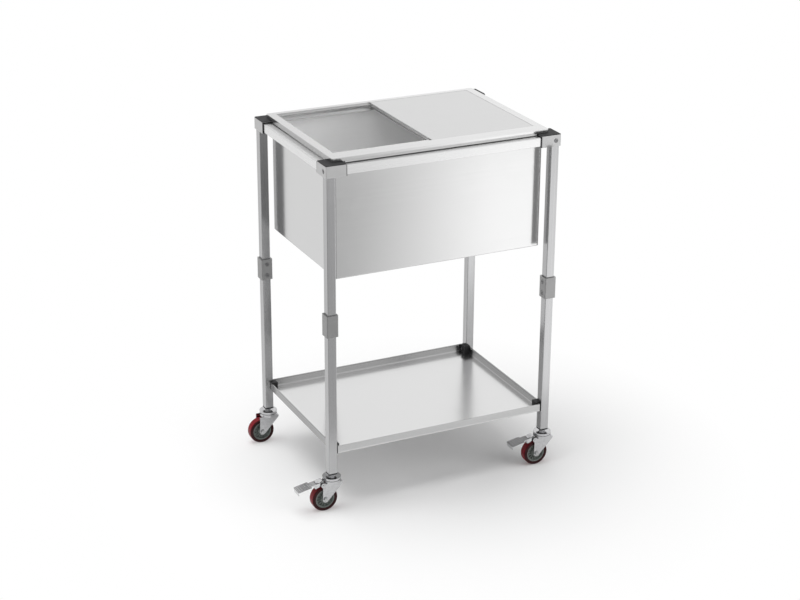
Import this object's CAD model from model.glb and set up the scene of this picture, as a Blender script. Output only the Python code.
import math

import bmesh
import bpy
from mathutils import Matrix, Vector


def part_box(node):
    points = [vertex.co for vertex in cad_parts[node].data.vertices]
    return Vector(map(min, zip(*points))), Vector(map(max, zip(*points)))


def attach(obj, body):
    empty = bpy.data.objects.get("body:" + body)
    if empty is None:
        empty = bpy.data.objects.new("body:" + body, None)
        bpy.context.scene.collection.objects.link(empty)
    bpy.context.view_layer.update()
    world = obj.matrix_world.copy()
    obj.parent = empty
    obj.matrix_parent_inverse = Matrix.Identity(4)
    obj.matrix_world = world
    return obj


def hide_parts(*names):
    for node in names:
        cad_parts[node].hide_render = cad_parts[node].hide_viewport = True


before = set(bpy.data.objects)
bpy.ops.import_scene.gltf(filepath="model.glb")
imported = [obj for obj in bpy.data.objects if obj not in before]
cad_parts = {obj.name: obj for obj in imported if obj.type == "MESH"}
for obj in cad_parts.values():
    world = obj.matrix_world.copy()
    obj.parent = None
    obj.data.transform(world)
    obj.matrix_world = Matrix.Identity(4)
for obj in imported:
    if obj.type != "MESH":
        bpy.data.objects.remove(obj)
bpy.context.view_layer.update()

scene = bpy.context.scene
corners = ("fl", "fr", "br", "bl")
brakedCorners = ("fl", "fr")
root = "frame"
print("frame loaded with", len(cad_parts), "nodes")


# Camera

view = {
    "place": (-2.159, -4.433, 2.478),
    "turn": -25.82,         # degrees from looking along +Y
    "tilt": 67.93,          # degrees from looking straight down
    "roll": 0.37,
    "focalPixels": 1857.2,
    "imageWidth": 800,
    "sensorWidth": 36,
    "farClip": 60,
}


def makeCamera():
    lens = bpy.data.cameras.new("camera")
    lens.sensor_fit = "HORIZONTAL"
    lens.sensor_width = view["sensorWidth"]
    lens.lens = view["focalPixels"] * view["sensorWidth"] / view["imageWidth"]
    lens.clip_end = view["farClip"]
    camera = bpy.data.objects.new("camera", lens)
    matrix = Matrix.Translation(view["place"])
    for degrees, axis in ((view["turn"], "Z"), (view["tilt"], "X"), (view["roll"], "Z")):
        matrix = matrix @ Matrix.Rotation(math.radians(degrees), 4, axis)
    camera.matrix_world = matrix
    scene.collection.objects.link(camera)
    scene.camera = camera


makeCamera()
print("camera placed")


# Node helpers: a socket that takes part in sums, and a tree that makes nodes

class Wire:
    def __init__(self, tree, socket):
        self.tree = tree
        self.socket = socket

    def combine(self, operation, first, second):
        return self.tree.node("Math", {"operation": operation}, {0: first, 1: second})

    def __add__(self, other):
        return self.combine("ADD", self, other)

    def __radd__(self, other):
        return self.combine("ADD", other, self)

    def __sub__(self, other):
        return self.combine("SUBTRACT", self, other)

    def __rsub__(self, other):
        return self.combine("SUBTRACT", other, self)

    def __mul__(self, other):
        return self.combine("MULTIPLY", self, other)

    def __rmul__(self, other):
        return self.combine("MULTIPLY", other, self)

    def __truediv__(self, other):
        return self.combine("DIVIDE", self, other)

    def __pow__(self, other):
        return self.combine("POWER", self, other)


class Tree:
    def __init__(self, nodeTree):
        self.nodeTree = nodeTree

    def plug(self, socket, value):
        if isinstance(value, Wire):
            self.nodeTree.links.new(value.socket, socket)
        elif socket.type == "RGBA" and len(value) == 3:
            socket.default_value = (*value, 1)
        else:
            socket.default_value = value

    def node(self, kind, settings=None, inputs=None, output=0):
        made = self.nodeTree.nodes.new("ShaderNode" + kind)
        for name, value in (settings or {}).items():
            if name == "stops":
                self.setStops(made.color_ramp, value)
            else:
                setattr(made, name, value)
        for name, value in (inputs or {}).items():
            self.plug(made.inputs[name], value)
        return Wire(self, made.outputs[output])

    def setStops(self, ramp, stops):
        while len(ramp.elements) < len(stops):
            ramp.elements.new(0.5)
        for element, (position, colour) in zip(ramp.elements, stops):
            element.position = position
            element.color = (*colour, 1)

    # Object coordinates, stretched and turned
    def placed(self, scale=(1, 1, 1), turn=(0, 0, 0), move=(0, 0, 0)):
        spot = self.node("TexCoord", output="Object")
        return self.node("Mapping", {}, {"Vector": spot, "Scale": scale, "Rotation": turn, "Location": move})

    def axis(self, name):
        return self.node("SeparateXYZ", {}, {0: self.node("TexCoord", output="Object")}, name)

    def noise(self, vector, scale, detail=2.0, roughness=0.5):
        return self.node("TexNoise", {}, {"Vector": vector, "Scale": scale, "Detail": detail, "Roughness": roughness})

    # A ramp between two values, held at its ends
    def ramp(self, value, low, high, outLow=0.0, outHigh=1.0):
        return self.node("MapRange", {"clamp": True}, {
            "Value": value, "From Min": low, "From Max": high, "To Min": outLow, "To Max": outHigh})

    def mixColour(self, factor, first, second, mode="MIX"):
        return self.node("Mix", {"data_type": "RGBA", "blend_type": mode}, {0: factor, 6: first, 7: second}, 2)

    def bump(self, height, strength, distance):
        return self.node("Bump", {}, {"Strength": strength, "Distance": distance, "Height": height}, "Normal")


class Finish(Tree):
    def __init__(self, name, fixed):
        self.material = bpy.data.materials.new(name)
        self.material.use_nodes = True
        super().__init__(self.material.node_tree)
        self.shader = self.nodeTree.nodes["Principled BSDF"]
        self.set(fixed)

    def set(self, values):
        for name, value in values.items():
            self.plug(self.shader.inputs[name], value)


# Finishes

steels = {
    "upright": {"light": (0.57, 0.57, 0.575), "dark": (0.42, 0.42, 0.425), "rough": 0.24, "relief": 0.12},
    "rail": {"light": (0.87, 0.87, 0.87), "dark": (0.83, 0.83, 0.83), "rough": 0.28, "relief": 0.03},
    "panel": {"light": (0.73, 0.73, 0.73), "dark": (0.69, 0.69, 0.69), "rough": 0.16, "relief": 0.03},
    "satin": {"light": (0.82, 0.82, 0.82), "dark": (0.78, 0.78, 0.78), "rough": 0.24, "relief": 0.03},
    "lid": {"light": (0.71, 0.71, 0.71), "dark": (0.67, 0.67, 0.67), "rough": 0.26, "relief": 0.03},
    "shelf": {"light": (0.8, 0.8, 0.8), "dark": (0.74, 0.74, 0.74), "rough": 0.22, "relief": 0.05},
    "tank": {"light": (0.94, 0.94, 0.94), "dark": (0.88, 0.88, 0.88), "rough": 0.38, "relief": 0.06},
}
grainStretch = {
    "x": (5, 900, 900),
    "y": (900, 5, 900),
    "z": (900, 900, 5),
    "level": (5, 5, 900),
}


# Steel with fine brushing along one way, faint broad clouds and a few handling smudges. Each shade turns it to a
# duller colour along an axis, between two places
def brushedSteel(name, kind, grain, metallic=1.0, shades=()):
    look = steels[kind]
    finish = Finish(name, {"Metallic": metallic})
    streaks = finish.noise(finish.placed(grainStretch[grain]), 1.0, 3.0, 0.6)
    lines = finish.noise(finish.placed(tuple(s / 4 for s in grainStretch[grain])), 1.0, 2.0)
    clouds = finish.noise(finish.placed(), 5.0, 3.0)
    smudges = finish.ramp(finish.noise(finish.placed(), 14.0, 4.0, 0.6), 0.52, 0.75)
    tone = streaks * 0.35 + lines * 0.55 + clouds * 0.1
    colour = finish.mixColour(tone, look["dark"], look["light"])
    for axis, start, end, shade in shades:
        colour = finish.mixColour(finish.ramp(finish.axis(axis), start, end), colour, (shade, shade, shade))
    finish.set({
        "Base Color": colour,
        "Roughness": streaks * 0.08 + clouds * 0.03 + smudges * 0.03 + (look["rough"] - 0.07),
        "Normal": finish.bump(streaks * 0.6 + lines * 0.4, look["relief"], 0.0002),
    })
    return finish.material


castings = {
    "castLight": {"light": (0.64, 0.64, 0.64), "dark": (0.54, 0.54, 0.54)},
    "castGrey": {"light": (0.4, 0.4, 0.4), "dark": (0.3, 0.3, 0.3)},
    "rough": 0.42,
    "pebble": 1400,
}


# Blasted and plated casting
def castMetal(name):
    look = castings[name]
    finish = Finish(name, {"Metallic": 0.9})
    pebbles = finish.noise(finish.placed(), castings["pebble"], 2.0, 0.6)
    clouds = finish.noise(finish.placed(), 40.0, 3.0)
    finish.set({
        "Base Color": finish.mixColour(clouds * 0.7 + pebbles * 0.3, look["dark"], look["light"]),
        "Roughness": pebbles * 0.16 + clouds * 0.1 + (castings["rough"] - 0.13),
        "Normal": finish.bump(pebbles, 0.2, 0.0002),
    })
    return finish.material


# Moulded plastic or rubber: a fine eroded grain, a slightly uneven colour and light dust on top
def moulded(name, colour, lighter, rough, grain=900, relief=0.2, fixed=None):
    finish = Finish(name, fixed or {})
    skin = finish.noise(finish.placed(), grain, 2.0, 0.6)
    clouds = finish.noise(finish.placed(), 18.0, 3.0)
    finish.set({
        "Base Color": finish.mixColour(clouds * 0.6 + skin * 0.3, colour, lighter),
        "Roughness": skin * 0.14 + clouds * 0.12 + (rough - 0.13),
        "Normal": finish.bump(skin, relief, 0.0003),
    })
    return finish.material


# Direction and level of the largest upward face of a CAD node
def upperFace(node):
    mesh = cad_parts[node].data
    area = {}
    for face in mesh.polygons:
        if face.normal.z > 0.9:
            level = round(face.normal.dot(mesh.vertices[face.vertices[0]].co), 4)
            key = (tuple(round(c, 2) for c in face.normal), level)
            area[key] = area.get(key, 0) + face.area
    return max(area, key=area.get)


# Plated steel: bright, with faint rolling lines and a few dull spots. Where a ground is given, that face is darker
# than what stands out of it
def plated(name, colour, darker, rough, ground=None, groundColour=(0.4, 0.4, 0.403)):
    finish = Finish(name, {"Metallic": 1.0})
    lines = finish.noise(finish.placed((120, 120, 900)), 1.0, 2.0)
    spots = finish.ramp(finish.noise(finish.placed(), 160.0, 3.0, 0.6), 0.45, 0.75)
    clouds = finish.noise(finish.placed(), 30.0, 2.0)
    face = finish.mixColour(spots * 0.5 + clouds * 0.3, colour, darker)
    if ground:
        normal, level = ground
        spot = finish.node("TexCoord", output="Object")
        height = finish.node("VectorMath", {"operation": "DOT_PRODUCT"}, {0: spot, 1: normal}, "Value")
        away = finish.node("Math", {"operation": "ABSOLUTE"}, {0: height - level})
        face = finish.mixColour(finish.ramp(away, 0.0003, 0.001), groundColour, face)
    finish.set({
        "Base Color": face,
        "Roughness": spots * 0.16 + lines * 0.05 + (rough - 0.03),
        "Normal": finish.bump(lines * 0.5 + clouds, 0.08, 0.0003),
    })
    return finish.material


treads = {
    "red": (0.24, 0.003, 0.011),
    "dark": (0.1, 0.002, 0.006),
    "side": (0.032, 0.005, 0.006),
    "rough": 0.36,
    "sideStart": 0.0088,    # distance from the wheel's middle plane where the darker side wall starts
    "sideEnd": 0.0118,
}


# Poured red tyre, slightly uneven in tone and gloss, with darker side walls
def redTread():
    low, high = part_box("wheel_tread_bl")
    finish = Finish("redTread", {"Coat Roughness": 0.2, "Specular IOR Level": 0.15})
    spread = finish.noise(finish.placed(), 60.0, 3.0)
    fine = finish.noise(finish.placed(), 700.0, 2.0)
    row = finish.node("Math", {"operation": "ABSOLUTE"}, {0: finish.axis("Y")})
    aside = finish.node("Math", {"operation": "ABSOLUTE"}, {0: row - (low.y + high.y) / 2})
    wall = finish.ramp(aside, treads["sideStart"], treads["sideEnd"])
    face = finish.mixColour(spread * 0.8, treads["red"], treads["dark"])
    finish.set({
        "Base Color": finish.mixColour(wall, face, treads["side"]),
        "Roughness": fine * 0.12 + spread * 0.14 + (treads["rough"] - 0.13),
        "Coat Weight": finish.ramp(spread, 0.35, 0.65, 0.02, 0.12),
        "Normal": finish.bump(fine, 0.15, 0.0003),
    })
    return finish.material


def foamFinish():
    finish = Finish("foam", {})
    cells = finish.node("TexVoronoi", {}, {"Vector": finish.placed(), "Scale": 420.0}, "Distance")
    clouds = finish.noise(finish.placed(), 25.0, 3.0)
    finish.set({
        "Base Color": finish.mixColour(clouds, (0.72, 0.62, 0.36), (0.82, 0.74, 0.5)),
        "Roughness": cells * 0.2 + 0.75,
        "Normal": finish.bump(cells, 0.5, 0.001),
    })
    return finish.material


matt = {"Specular IOR Level": 0.2}
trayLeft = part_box("shelf_tray")[0].x
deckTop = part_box("shelf_tray")[0].z + 0.0015
trayShades = (("Z", deckTop, deckTop + 0.003, 0.56), ("X", trayLeft + 0.0014, trayLeft + 0.0006, 0.38))
finishes = {
    "tubeUpright": brushedSteel("tubeUpright", "upright", "z"),
    "railAcross": brushedSteel("railAcross", "rail", "x"),
    "railDeep": brushedSteel("railDeep", "rail", "y"),
    "panel": brushedSteel("polishedPanel", "panel", "level"),
    "satin": brushedSteel("satinSheet", "satin", "x", shades=(("X", 0.1, -0.32, 0.7),)),
    "lid": brushedSteel("lidSheet", "lid", "x"),
    "shelf": brushedSteel("shelfSheet", "shelf", "x", shades=trayShades),
    "tank": brushedSteel("tankSheet", "tank", "x", 0.15),
    "castLight": castMetal("castLight"),
    "castGrey": castMetal("castGrey"),
    "black": moulded("blackPlastic", (0.014, 0.014, 0.015), (0.034, 0.034, 0.035), 0.6, fixed=matt),
    "clip": moulded("clipPlastic", (0.022, 0.022, 0.023), (0.05, 0.05, 0.051), 0.6, fixed=matt),
    "rubber": moulded("rubber", (0.02, 0.02, 0.02), (0.035, 0.035, 0.035), 0.75, 500, 0.3, matt),
    "seat": moulded("seatRubber", (0.12, 0.12, 0.12), (0.17, 0.17, 0.17), 0.75, 500, 0.3, matt),
    "nylon": moulded("nylon", (0.72, 0.71, 0.67), (0.8, 0.79, 0.76), 0.42, 600, 0.1),
    "grey": moulded("greyPlastic", (0.2, 0.205, 0.205), (0.28, 0.285, 0.285), 0.45),
    "core": moulded("coreGrey", (0.13, 0.147, 0.135), (0.22, 0.245, 0.228), 0.42, 500, 0.15),
    "hose": moulded("hosePlastic", (0.07, 0.072, 0.074), (0.11, 0.112, 0.114), 0.42, 500, 0.1),
    "screw": plated("darkScrew", (0.3, 0.3, 0.305), (0.14, 0.14, 0.142), 0.3),
    "bolt": plated("axleBolts", (0.55, 0.56, 0.56), (0.3, 0.31, 0.31), 0.26),
    "chrome": plated("zincChrome", (0.62, 0.62, 0.63), (0.42, 0.42, 0.43), 0.16),
    "balls": plated("bearingSteel", (0.7, 0.7, 0.71), (0.56, 0.56, 0.57), 0.1),
    "pedal_fl": plated("pedalLeft", (0.74, 0.74, 0.75), (0.5, 0.5, 0.51), 0.16, upperFace("brake_pedal_fl")),
    "pedal_fr": plated("pedalRight", (0.74, 0.74, 0.75), (0.5, 0.5, 0.51), 0.16, upperFace("brake_pedal_fr")),
    "tread": redTread(),
    "foam": foamFinish(),
}
print("finishes made:", len(finishes))


# Mesh helpers

def addBlock(bm, low, high):
    made = bmesh.ops.create_cube(bm, size=1)["verts"]
    low = Vector(low)
    high = Vector(high)
    bmesh.ops.scale(bm, vec=high - low, verts=made)
    bmesh.ops.translate(bm, vec=(low + high) / 2, verts=made)
    return made


def foldEdges(bm, degrees=30, where=None):
    limit = math.radians(degrees)
    found = [e for e in bm.edges if len(e.link_faces) == 2 and e.calc_face_angle(0) > limit]
    return [e for e in found if where is None or where(e)]


def roundEdges(bm, edges, radius, segments=3):
    bmesh.ops.bevel(
        bm, geom=edges, offset=radius, offset_type="OFFSET", segments=segments, profile=0.5,
        affect="EDGES", clamp_overlap=True, material=-1)


def isUpright(edge):
    a, b = (v.co for v in edge.verts)
    return abs(a.x - b.x) + abs(a.y - b.y) < abs(a.z - b.z) / 100


def isAtHeight(edge, height, slack=1e-5):
    return all(abs(v.co.z - height) < slack for v in edge.verts)


def openEdges(bm):
    return [e for e in bm.edges if len(e.link_faces) == 1]


# Extrudes edges and returns the new edges and their vertices
def pullEdges(bm, edges):
    made = bmesh.ops.extrude_edge_only(bm, edges=edges)["geom"]
    newEdges = [g for g in made if isinstance(g, bmesh.types.BMEdge)]
    newVerts = [g for g in made if isinstance(g, bmesh.types.BMVert)]
    return newEdges, newVerts


# Turns a closed outline, given as radius and place along the axis, into a solid of revolution
def spinOutline(bm, outline, centre, axis, radial, steps, soften=None):
    ring = [bm.verts.new(Vector(centre) + Vector(radial) * r + Vector(axis) * along) for r, along in outline]
    edges = [bm.edges.new((ring[i], ring[(i + 1) % len(ring)])) for i in range(len(ring))]
    if soften:
        corner, radius, segments = soften
        bmesh.ops.bevel(
            bm, geom=[ring[i] for i in corner], offset=radius, offset_type="OFFSET", segments=segments,
            profile=0.5, affect="VERTICES", material=-1)
        edges = [e for e in bm.edges if not e.link_faces]
        ring = list({v for e in edges for v in e.verts})
    bmesh.ops.spin(
        bm, geom=ring + edges, cent=centre, axis=axis, dvec=(0, 0, 0), angle=math.tau, steps=steps,
        use_merge=True, use_duplicate=False)
    bmesh.ops.remove_doubles(bm, verts=bm.verts, dist=1e-6)
    bmesh.ops.recalc_face_normals(bm, faces=bm.faces)


# Makes the object of a finished mesh and says what it is, what carries it and what it stands for
def finishPiece(bm, name, finish, body=root, replaced=(), smooth=32, wall=None):
    mesh = bpy.data.meshes.new(name)
    bm.to_mesh(mesh)
    bm.free()
    mesh.materials.append(finishes[finish])
    mesh.shade_smooth()
    mesh.set_sharp_from_angle(angle=math.radians(smooth))
    piece = bpy.data.objects.new(name, mesh)
    scene.collection.objects.link(piece)
    if wall:
        thicken = piece.modifiers.new("wall", "SOLIDIFY")
        thicken.thickness = wall
        thicken.offset = -1
        thicken.use_even_offset = True
    even = piece.modifiers.new("evenShading", "WEIGHTED_NORMAL")
    even.keep_sharp = True
    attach(piece, body)
    if replaced:
        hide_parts(*replaced)
    return piece


# A copy of a CAD node with its triangles merged into faces and its folds rounded
def softenedCopy(node, name, finish, body=root, radius=0.0006, segments=2, degrees=35, where=None):
    bm = bmesh.new()
    bm.from_mesh(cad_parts[node].data)
    bmesh.ops.remove_doubles(bm, verts=bm.verts, dist=2e-6)
    bmesh.ops.dissolve_limit(bm, angle_limit=math.radians(0.5), verts=bm.verts, edges=bm.edges)
    roundEdges(bm, foldEdges(bm, degrees, where), radius, segments)
    return finishPiece(bm, name, finish, body, (node,))


def dress(finish, *nodeNames):
    for name in nodeNames:
        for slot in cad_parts[name].material_slots:
            slot.material = finishes[finish]


# Drain hose: a ribbed tube hanging from the drain, bent along its route

hose = {
    "outer": 0.015,
    "bore": 0.012,
    "ribs": 55,
    "ribDepth": 0.002,
    "plainEnd": 0.075,
    "cuffLip": 0.003,
    "sides": 32,
    "boreRings": 48,
    "turn": 66.4,           # degrees from +X of the upright plane that it hangs in
    # Distance from the drain's axis and height of each point of the route
    "route": [
        (0, 0.618), (0, 0.588), (0, 0.55), (0, 0.51), (0, 0.47), (0, 0.43), (0, 0.39), (0, 0.35),
        (0, 0.315), (0.0035, 0.286), (0.013, 0.2585), (0.0285, 0.2335), (0.049, 0.2125),
        (0.074, 0.1972), (0.0885, 0.1902), (0.103, 0.1832),
    ],
}


def fineRoute(points, steps=6):
    fine = []
    for k in range(len(points) - 1):
        a, b, c, d = (Vector(points[min(max(k + j, 0), len(points) - 1)]) for j in (-1, 0, 1, 2))
        for j in range(steps):
            t = j / steps
            fine.append(0.5 * (2 * b + (c - a) * t + (2 * a - 5 * b + 4 * c - d) * t ** 2
                               + (3 * b - a - 3 * c + d) * t ** 3))
    return fine + [Vector(points[-1])]


# One period of the ribs: how far along it and how deep under the crest, as shares
ribShape = ((0.08, 1), (0.28, 1), (0.42, 0.45), (0.55, 0), (0.8, 0), (0.94, 0.45))


def makeHose():
    drain = (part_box("drain_union_nut")[0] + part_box("drain_union_nut")[1]) / 2
    across = Vector((math.cos(math.radians(hose["turn"])), math.sin(math.radians(hose["turn"])), 0))
    side = Vector((-across.y, across.x, 0))
    up = Vector((0, 0, 1))
    fine = fineRoute(hose["route"])
    marks = [0]
    for a, b in zip(fine, fine[1:]):
        marks.append(marks[-1] + (b - a).length)
    length = marks[-1]

    def pointAt(s):
        i = max(k for k in range(len(fine) - 1) if marks[k] <= s or k == 0)
        return fine[i].lerp(fine[i + 1], (s - marks[i]) / (marks[i + 1] - marks[i]))

    outer = hose["outer"]
    pitch = (length - 2 * hose["plainEnd"]) / hose["ribs"]
    outline = [(outer, 0), (outer, hose["cuffLip"]), (outer - 0.0004, hose["cuffLip"] + 0.0008)]
    outline += [(outer - 0.0004, hose["plainEnd"] - 0.002), (outer, hose["plainEnd"] - 0.001)]
    for k in range(hose["ribs"]):
        start = hose["plainEnd"] + k * pitch
        outline += [(outer - hose["ribDepth"] * depth, start + pitch * share) for share, depth in ribShape]
    outline += [(outer, length - hose["plainEnd"] + 0.001), (outer - 0.0004, length - hose["plainEnd"] + 0.002)]
    outline += [(outer - 0.0004, length - hose["cuffLip"] - 0.0008), (outer, length - hose["cuffLip"])]
    outline += [(outer, length)]
    outline += [(hose["bore"], length * (1 - k / hose["boreRings"])) for k in range(hose["boreRings"] + 1)]
    bm = bmesh.new()
    spinOutline(bm, outline, (0, 0, 0), (0, 0, 1), (1, 0, 0), hose["sides"])
    for vert in bm.verts:
        s = min(max(vert.co.z, 0), length)
        along = (pointAt(min(s + 0.004, length)) - pointAt(max(s - 0.004, 0))).normalized()
        spot = pointAt(s)
        centre = Vector((drain.x, drain.y, 0)) + across * spot.x + up * spot.y
        vert.co = centre + vert.co.x * (up * along.x - across * along.y) + vert.co.y * side
    bmesh.ops.recalc_face_normals(bm, faces=bm.faces)
    piece = finishPiece(bm, "drainHose", "hose", root, ("drain_hose",), 50)


makeHose()
print("hose made")


# Bin: shell, tank and rim of folded sheet

tub = {
    "wall": 0.0012,
    "shellCorner": 0.004,
    "shellFold": 0.0035,
    "tankCorner": 0.018,
    "tankFold": 0.012,
    "drainHole": 0.01915,
}


# An open box with rounded corners, a folded floor and a hole for the drain
def makeTub(node, name, finish, corner, fold):
    low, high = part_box(node)
    tail = (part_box("drain_backnut")[0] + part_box("drain_backnut")[1]) / 2
    bm = bmesh.new()
    addBlock(bm, low, high)
    bmesh.ops.delete(bm, geom=[f for f in bm.faces if f.normal.z > 0.9], context="FACES")
    roundEdges(bm, [e for e in bm.edges if isUpright(e)], corner, 8)
    roundEdges(bm, [e for e in bm.edges if isAtHeight(e, low.z)], fold, 5)
    floor = max((f for f in bm.faces if f.normal.z < -0.99), key=lambda f: f.calc_area())
    border = list(floor.edges)
    bmesh.ops.delete(bm, geom=[floor], context="FACES_ONLY")
    circle = bmesh.ops.create_circle(
        bm, cap_ends=False, radius=tub["drainHole"], segments=48, matrix=Matrix.Translation((tail.x, tail.y, low.z)))
    rim = list({e for v in circle["verts"] for e in v.link_edges})
    bmesh.ops.triangle_fill(bm, edges=border + rim, use_beauty=True)
    bmesh.ops.recalc_face_normals(bm, faces=bm.faces)
    side = max(bm.faces, key=lambda f: f.calc_center_median().x)
    if side.normal.x < 0:
        bmesh.ops.reverse_faces(bm, faces=bm.faces)
    return finishPiece(bm, name, finish, root, (node,), 32, tub["wall"])


makeTub("bin_shell", "outerShell", "panel", tub["shellCorner"], tub["shellFold"])
makeTub("bin_tank", "innerTank", "tank", tub["tankCorner"], tub["tankFold"])


rim = {
    "sheet": 0.0015,
    "front": 0.042,
    "back": 0.016,
    "side": 0.024,
    "trackFront": 0.016,
    "trackBack": 0.01,
    "lowFront": 0.014,
    "lowBack": 0.012,
    "capGap": 0.0005,
    "skirtGap": 0.005,      # from the end of a corner connector to the end of a skirt
    "railGap": 0.0022,      # from the top of the rails to the skirts
    "corner": 0.005,
    "bend": 0.0016,
    "endStep": 0.0002,
}


# Heights and openings of the stepped rim, from the outside in: half width, front, back, height
def rimSteps():
    low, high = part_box("bin_rim")
    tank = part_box("bin_tank")[1]
    x = high.x
    pocket = (x - rim["side"], low.y + rim["front"], high.y - rim["back"])
    mouth = (pocket[0] - rim["endStep"], pocket[1] + rim["trackFront"], pocket[2] - rim["trackBack"])
    lower = (tank.x - tub["wall"], mouth[1] + rim["lowFront"], mouth[2] - rim["lowBack"])
    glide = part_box("lid_upper_glides")[0].z - 0.0003
    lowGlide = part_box("lid_lower_glides")[0].z - 0.0003
    top = high.z
    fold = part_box("connector_caps")[1].z + rim["capGap"]
    return [
        (x, low.y, high.y, fold), (x, low.y, high.y, top), (*pocket, top), (*pocket, glide),
        (*mouth, glide), (*mouth, lowGlide), (*lower, lowGlide),
    ]


# Skirts between the corner connectors, down to just over the rails
def addSkirts(bm, low, high, fold):
    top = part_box("rail_front")[1].z + rim["railGap"]
    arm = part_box("corner_connector_br")[0]
    x = arm.x - rim["skirtGap"]
    y = arm.y - rim["skirtGap"]
    for (x0, y0), (x1, y1) in (
            ((-x, low.y), (x, low.y)), ((high.x, -y), (high.x, y)), ((x, high.y), (-x, high.y)), ((low.x, y), (low.x, -y))):
        outline = ((x0, y0, top), (x1, y1, top), (x1, y1, fold), (x0, y0, fold))
        bm.faces.new([bm.verts.new(spot) for spot in outline])


def makeRim():
    steps = rimSteps()
    bm = bmesh.new()
    x, front, back, height = steps[0]
    addBlock(bm, (-x, front, height), (x, back, height + 0.01))
    bmesh.ops.delete(bm, geom=[f for f in bm.faces if abs(f.normal.z) > 0.9], context="FACES")
    bmesh.ops.delete(bm, geom=[f for f in bm.faces], context="FACES_ONLY")
    bmesh.ops.delete(bm, geom=[v for v in bm.verts if v.co.z > height + 0.005], context="VERTS")
    edges = list(bm.edges)
    for x, front, back, height in steps[1:]:
        edges, verts = pullEdges(bm, edges)
        for vert in verts:
            vert.co = (math.copysign(x, vert.co.x), back if vert.co.y > 0 else front, height)
    bmesh.ops.recalc_face_normals(bm, faces=bm.faces)
    lid = max(bm.faces, key=lambda f: f.calc_center_median().z)
    if lid.normal.z < 0:
        bmesh.ops.reverse_faces(bm, faces=bm.faces)
    outerX = steps[0][0]
    roundEdges(bm, [e for e in bm.edges if isUpright(e) and abs(e.verts[0].co.x) > outerX - 1e-4], rim["corner"], 5)
    roundEdges(bm, foldEdges(bm, 60), rim["bend"], 3)
    addSkirts(bm, *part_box("bin_rim"), steps[0][3] + 0.0002)
    finishPiece(bm, "steppedRim", "satin", root, ("bin_rim",), 32, rim["sheet"])


makeRim()


# Sliding lids: a flat panel with a stiffener turned down near each end

lids = {
    "panel": 0.002,
    "stiffener": 0.0012,
    "sideGap": 0.0008,
    "lowerInset": 0.014,
    "corner": 0.001,
    "edge": 0.0007,
}


def makeLid(node, name, body, front, back, inset):
    low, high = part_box(node)
    under = high.z - lids["panel"]
    bm = bmesh.new()
    addBlock(bm, (low.x, low.y, under), high)
    roundEdges(bm, [e for e in bm.edges if isUpright(e)], lids["corner"], 3)
    roundEdges(bm, [e for e in foldEdges(bm, 60) if not isUpright(e)], lids["edge"], 3)
    for x in (low.x + inset, high.x - inset - lids["stiffener"]):
        fin = addBlock(bm, (x, front, low.z), (x + lids["stiffener"], back, under + 0.0001))
        lower = list({e for v in fin for e in v.link_edges if isAtHeight(e, low.z)})
        roundEdges(bm, lower, lids["stiffener"] / 3, 2)
    finishPiece(bm, name, "lid", body, (node,))


trackSteps = rimSteps()
gap = lids["sideGap"]
makeLid("lid_upper", "upperLid", "lid_top", trackSteps[4][1] + gap, trackSteps[4][2] - gap, 0)
makeLid(
    "lid_lower", "lowerLid", "lid_bottom", trackSteps[6][1] + gap, trackSteps[6][2] - gap, lids["lowerInset"])
print("bin and lids made")


# Shelf tray: one sheet with its sides folded up and a hem rolled round the edge

tray = {
    "wall": 0.0012,
    "hem": 0.003,
    "hemDrop": 0.0025,
    "clipWall": 0.0025,
    "clipGap": 0.0002,
    "fold": 0.0018,
    "hemRound": 0.0007,
    "corner": 0.0012,
}


def drawIn(verts, amount):
    for vert in verts:
        vert.co.x -= math.copysign(amount, vert.co.x)
        vert.co.y -= math.copysign(amount, vert.co.y)


def makeTray():
    low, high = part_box("shelf_tray")
    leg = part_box("leg_lower_br")[0]
    inside = tray["clipWall"] + tray["clipGap"]
    xs = (-high.x, inside - leg.x, leg.x - inside, high.x)
    ys = (-high.y, inside - leg.y, leg.y - inside, high.y)
    bm = bmesh.new()
    bmesh.ops.create_grid(bm, x_segments=3, y_segments=3, size=1)
    for vert in bm.verts:
        column, row = (round((c + 1) * 1.5) for c in vert.co.xy)
        vert.co = (xs[column], ys[row], low.z)
    middles = {f: f.calc_center_median() for f in bm.faces}
    notches = [f for f, middle in middles.items() if abs(middle.x) > xs[2] and abs(middle.y) > ys[2]]
    bmesh.ops.delete(bm, geom=notches, context="FACES")
    bmesh.ops.reverse_faces(bm, faces=[f for f in bm.faces if f.normal.z > 0])
    edges = openEdges(bm)
    inner = tray["hem"] - tray["wall"]
    for drawn, height in (
            (0, high.z), (tray["hem"], high.z), (0, high.z - tray["hemDrop"]), (-inner, high.z - tray["hemDrop"]),
            (0, low.z + tray["wall"])):
        edges, verts = pullEdges(bm, edges)
        drawIn(verts, drawn)
        for vert in verts:
            vert.co.z = height
    bmesh.ops.contextual_create(bm, geom=edges)
    bmesh.ops.dissolve_limit(bm, angle_limit=math.radians(0.5), verts=bm.verts, edges=bm.edges)
    bmesh.ops.recalc_face_normals(bm, faces=bm.faces)
    roundEdges(bm, foldEdges(bm, 60, isUpright), tray["corner"], 3)
    roundEdges(bm, foldEdges(bm, 60, lambda e: isAtHeight(e, low.z)), tray["fold"], 3)
    roundEdges(bm, foldEdges(bm, 60, lambda e: isAtHeight(e, low.z + tray["wall"])), tray["wall"] / 2, 2)
    roundEdges(bm, foldEdges(bm, 60, lambda e: isAtHeight(e, high.z)), tray["hemRound"], 3)
    finishPiece(bm, "shelfTray", "shelf", root, ("shelf_tray",))


makeTray()
print("shelf made")


# Frame: castings, caps, plugs, clips and screws with rounded edges

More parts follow.
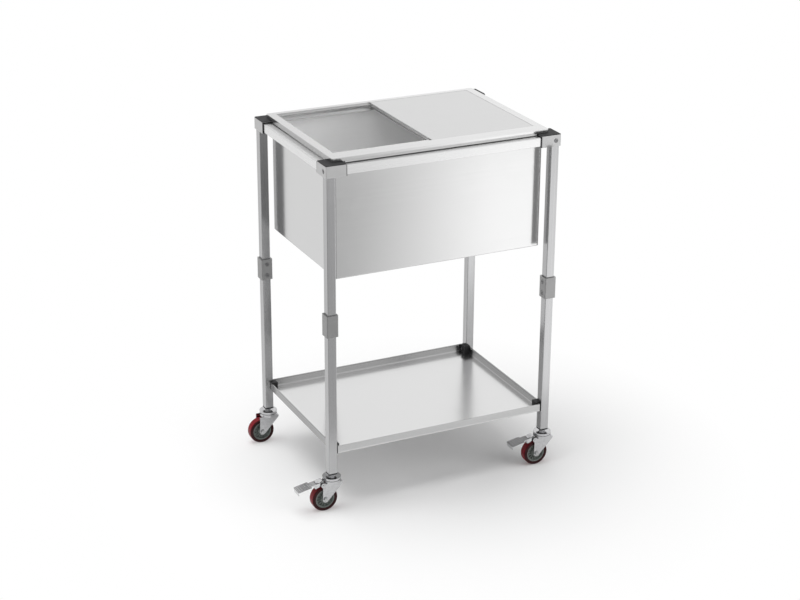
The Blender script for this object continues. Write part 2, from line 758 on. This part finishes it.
for corner in corners:
    softenedCopy(
        "corner_connector_" + corner, "connectorCasting_" + corner, "castLight",
        radius=0.0011, segments=3)
    softenedCopy(
        "coupler_" + corner, "couplerCasting_" + corner, "castGrey", radius=0.001, segments=3)
softenedCopy("connector_caps", "capsAndLiners", "black", radius=0.0004)
softenedCopy("leg_end_plugs", "legPlugs", "black", radius=0.0006)
softenedCopy("shelf_corner_clips", "shelfClips", "clip", radius=0.0008)
softenedCopy("frame_screws", "clampScrews", "screw", radius=0.0003)
for corner in corners:
    for half, name in (("leg_upper_", "upperLeg_"), ("leg_lower_", "lowerLeg_")):
        softenedCopy(half + corner, name + corner, "tubeUpright", radius=0.0015, segments=3)
for node, name, finish in (
        ("rail_front", "frontRail", "railAcross"), ("rail_back", "backRail", "railAcross"),
        ("rail_left", "leftRail", "railDeep"), ("rail_right", "rightRail", "railDeep")):
    softenedCopy(node, name, finish, radius=0.0015, segments=3)
dress("foam", "bin_insulation")
dress("seat", "bin_seat")
dress("nylon", "lid_upper_glides", "lid_lower_glides")
print("frame made")


# Drain fittings

softenedCopy("drain_flange", "drainFlange", "chrome", radius=0.0006)
softenedCopy("drain_strainer", "drainStrainer", "grey", radius=0.0004)
softenedCopy("drain_washer", "drainWasher", "rubber", radius=0.0005)
softenedCopy("drain_backnut", "drainBacknut", "chrome", radius=0.0008)
softenedCopy("drain_union_nut", "drainUnionNut", "grey", radius=0.0005)
print("drain made")


# Casters

wheel = {
    "treadRound": 0.004,
    "treadSteps": 96,
    "coreRim": 0.004,
    "web": 0.009,
    "hub": 0.011,
    "bore": 0.00408,
    "rimInset": 0.0015,
    "ribs": 14,
    "ribWidth": 0.0016,
    "ribInset": 0.0025,
    "coreSteps": 96,
}


def makeWheel(corner):
    body = "wheel_" + corner
    low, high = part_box("wheel_tread_" + corner)
    centre = (low + high) / 2
    outer = (high.z - low.z) / 2
    half = (high.y - low.y) / 2
    coreLow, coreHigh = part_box("wheel_core_" + corner)
    coreOuter = (coreHigh.z - coreLow.z) / 2
    hubHalf = (coreHigh.y - coreLow.y) / 2

    bm = bmesh.new()
    outline = [(coreOuter, -half), (outer, -half), (outer, half), (coreOuter, half)]
    spinOutline(bm, outline, centre, (0, 1, 0), (0, 0, 1), wheel["treadSteps"], ((1, 2), wheel["treadRound"], 5))
    finishPiece(bm, "wheelTread_" + corner, "tread", body, ("wheel_tread_" + corner,))

    web = wheel["web"] / 2
    inner = coreOuter - wheel["coreRim"]
    rimHalf = half - wheel["rimInset"]
    bm = bmesh.new()
    outline = [
        (wheel["bore"], -hubHalf), (wheel["hub"], -hubHalf), (wheel["hub"] + 0.0015, -web), (inner - 0.0015, -web),
        (inner, -rimHalf), (coreOuter, -rimHalf), (coreOuter, rimHalf), (inner, rimHalf), (inner - 0.0015, web),
        (wheel["hub"] + 0.0015, web), (wheel["hub"], hubHalf), (wheel["bore"], hubHalf),
    ]
    spinOutline(bm, outline, centre, (0, 1, 0), (0, 0, 1), wheel["coreSteps"])
    roundEdges(bm, foldEdges(bm, 25), 0.0006, 2)
    ribTop = rimHalf - wheel["ribInset"]
    for k in range(wheel["ribs"]):
        for side in (-1, 1):
            rib = addBlock(
                bm, (-wheel["ribWidth"] / 2, min(side * web * 0.9, side * ribTop), wheel["hub"] - 0.0005),
                (wheel["ribWidth"] / 2, max(side * web * 0.9, side * ribTop), inner + 0.0005))
            bmesh.ops.rotate(
                bm, verts=rib, cent=(0, 0, 0), matrix=Matrix.Rotation(math.tau * k / wheel["ribs"], 3, "Y"))
            bmesh.ops.translate(bm, verts=rib, vec=centre)
    finishPiece(bm, "wheelCore_" + corner, "core", body, ("wheel_core_" + corner,))


for corner in corners:
    makeWheel(corner)
    swivel = "swivel_" + corner
    softenedCopy("caster_fork_" + corner, "casterFork_" + corner, "chrome", swivel, 0.0008, 3)
    softenedCopy("wheel_axle_" + corner, "axleBolt_" + corner, "bolt", swivel, 0.0005)
for corner in brakedCorners:
    softenedCopy(
        "brake_pedal_" + corner, "brakePedal_" + corner, "pedal_" + corner, "brake_" + corner, 0.0004)
softenedCopy("caster_stems", "casterStems", "chrome", radius=0.0006)
dress("balls", "swivel_balls")
print("casters made")


# Studio: white floor and surroundings, soft lamps and cards that only show in the metal

studio = {
    "floorSize": 40,
    "floorColour": (0.88, 0.88, 0.88),
    "nearWhite": 0.25,      # metres from the middle of the shade where the floor starts to turn plain white
    "farWhite": 0.95,
    "shadeShift": (-0.02, 0.08, 0),
    "ambient": 0.43,
    "floorInMetal": 0.87,
    # Tone of the surroundings that the metal shows: darkest to the back left, plain white to the back right
    "sideLean": 0.3,
    "darkSide": -0.3,
    "lightSide": 0.76,
    "darkTone": 0.6,
}


def makeWorld():
    world = bpy.data.worlds.new("studio")
    world.use_nodes = True
    scene.world = world
    tree = Tree(world.node_tree)
    seen = tree.node("LightPath", output="Is Camera Ray") + tree.node("LightPath", output="Is Transmission Ray")
    metal = tree.node("LightPath", output="Is Glossy Ray")
    side = tree.axis("X") + tree.axis("Y") * studio["sideLean"]
    inMetal = tree.ramp(side, studio["darkSide"], studio["lightSide"], studio["darkTone"], 1)
    strength = seen + metal * inMetal + (1 - seen - metal) * studio["ambient"]
    background = world.node_tree.nodes["Background"]
    tree.plug(background.inputs["Color"], (1, 1, 1))
    tree.plug(background.inputs["Strength"], strength)


def stageMaterial(name):
    material = bpy.data.materials.new(name)
    material.use_nodes = True
    material.node_tree.nodes.clear()
    return material, Tree(material.node_tree)


def endTree(tree, shader):
    output = tree.nodeTree.nodes.new("ShaderNodeOutputMaterial")
    tree.plug(output.inputs["Surface"], shader)


def stagePlane(name, size, matrix, material):
    bm = bmesh.new()
    bmesh.ops.create_grid(bm, x_segments=1, y_segments=1, size=0.5)
    bmesh.ops.scale(bm, vec=(size[0], size[1], 1), verts=bm.verts)
    bmesh.ops.transform(bm, matrix=matrix, verts=bm.verts)
    mesh = bpy.data.meshes.new(name)
    bm.to_mesh(mesh)
    bm.free()
    mesh.materials.append(material)
    plane = bpy.data.objects.new(name, mesh)
    scene.collection.objects.link(plane)
    return plane


def makeFloor():
    material, tree = stageMaterial("floor")
    spot = tree.placed(move=studio["shadeShift"])
    distance = tree.node("VectorMath", {"operation": "LENGTH"}, {0: spot}, "Value")
    metal = tree.node("LightPath", output="Is Glossy Ray")
    seen = tree.node("LightPath", output="Is Camera Ray") + tree.node("LightPath", output="Is Transmission Ray")
    far = tree.ramp(distance, studio["nearWhite"], studio["farWhite"])
    tone = tree.ramp(metal, 0, 1, 1, studio["floorInMetal"])
    paper = tree.node("BsdfDiffuse", {}, {"Color": studio["floorColour"]})
    white = tree.node("Emission", {}, {"Color": (1, 1, 1), "Strength": tone})
    endTree(tree, tree.node("MixShader", {}, {0: far * (seen + metal), 1: paper, 2: white}))
    size = studio["floorSize"]
    stagePlane("floor", (size, size), Matrix.Identity(4), material)


lamps = {
    "keyLamp": {"place": (2.3, -2.3, 1.9), "aim": (0.1, 0, 0.5), "size": 1.8, "power": 26},
    "topLamp": {"place": (-0.6, 0.2, 3.4), "aim": (0, 0, 0.5), "size": 2.6, "power": 84},
    "leftLamp": {"place": (-2.8, 0.4, 1.0), "aim": (0, 0, 0.3), "size": 1.6, "power": 17},
}


def makeLamp(name, lamp):
    light = bpy.data.lights.new(name, "AREA")
    light.shape = "SQUARE"
    light.size = lamp["size"]
    light.energy = lamp["power"]
    holder = bpy.data.objects.new(name, light)
    place = Vector(lamp["place"])
    holder.location = place
    holder.rotation_euler = (Vector(lamp["aim"]) - place).to_track_quat("-Z", "Y").to_euler()
    holder.visible_glossy = False
    scene.collection.objects.link(holder)


# Low card in front, seen only in the metal: its grey rises from left to right along the panel's own sight lines
frontCard = {
    "size": (5.2, 2.6),
    "middle": (0.0, -1.95, 0.003),
    "lean": 0.512,
    "darkAt": -0.42,
    "lightAt": 0.22,
    "dark": 0.54,
    "light": 1.33,
    "farLeft": -0.85,
    "farLeftEnd": -1.5,
    "farLeftShade": 0.55,
}


def hideCard(card):
    card.visible_camera = False
    card.visible_diffuse = False
    card.visible_shadow = False
    card.visible_transmission = False
    card.visible_volume_scatter = False


def makeFrontCard():
    look = frontCard
    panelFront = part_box("bin_shell")[0].y
    material, tree = stageMaterial("frontCard")
    across = tree.axis("X") + (tree.axis("Y") - panelFront) * look["lean"]
    tone = tree.ramp(across, look["darkAt"], look["lightAt"], look["dark"], look["light"])
    tone = tone * tree.ramp(across, look["farLeftEnd"], look["farLeft"], look["farLeftShade"], 1)
    endTree(tree, tree.node("Emission", {}, {"Color": (1, 1, 1), "Strength": tone}))
    hideCard(stagePlane("frontCard", look["size"], Matrix.Translation(look["middle"]), material))


# Narrow upright card before the gap between the bin and the front right leg: the dark line at the panel's end
flag = {"left": 0.311, "right": 0.3295, "place": -0.26, "low": 0.66, "high": 0.968, "tone": 0.24}


def makeFlag():
    material, tree = stageMaterial("flag")
    endTree(tree, tree.node("Emission", {}, {"Color": (1, 1, 1), "Strength": flag["tone"]}))
    middle = ((flag["left"] + flag["right"]) / 2, flag["place"], (flag["low"] + flag["high"]) / 2)
    place = Matrix.Translation(middle) @ Matrix.Rotation(math.pi / 2, 4, "X")
    hideCard(stagePlane("flag", (flag["right"] - flag["left"], flag["high"] - flag["low"]), place, material))


makeWorld()
makeFloor()
for lampName, lamp in lamps.items():
    makeLamp(lampName, lamp)
makeFrontCard()
makeFlag()
scene.view_settings.view_transform = "Standard"
print("studio made")


bpy.context.view_layer.update()
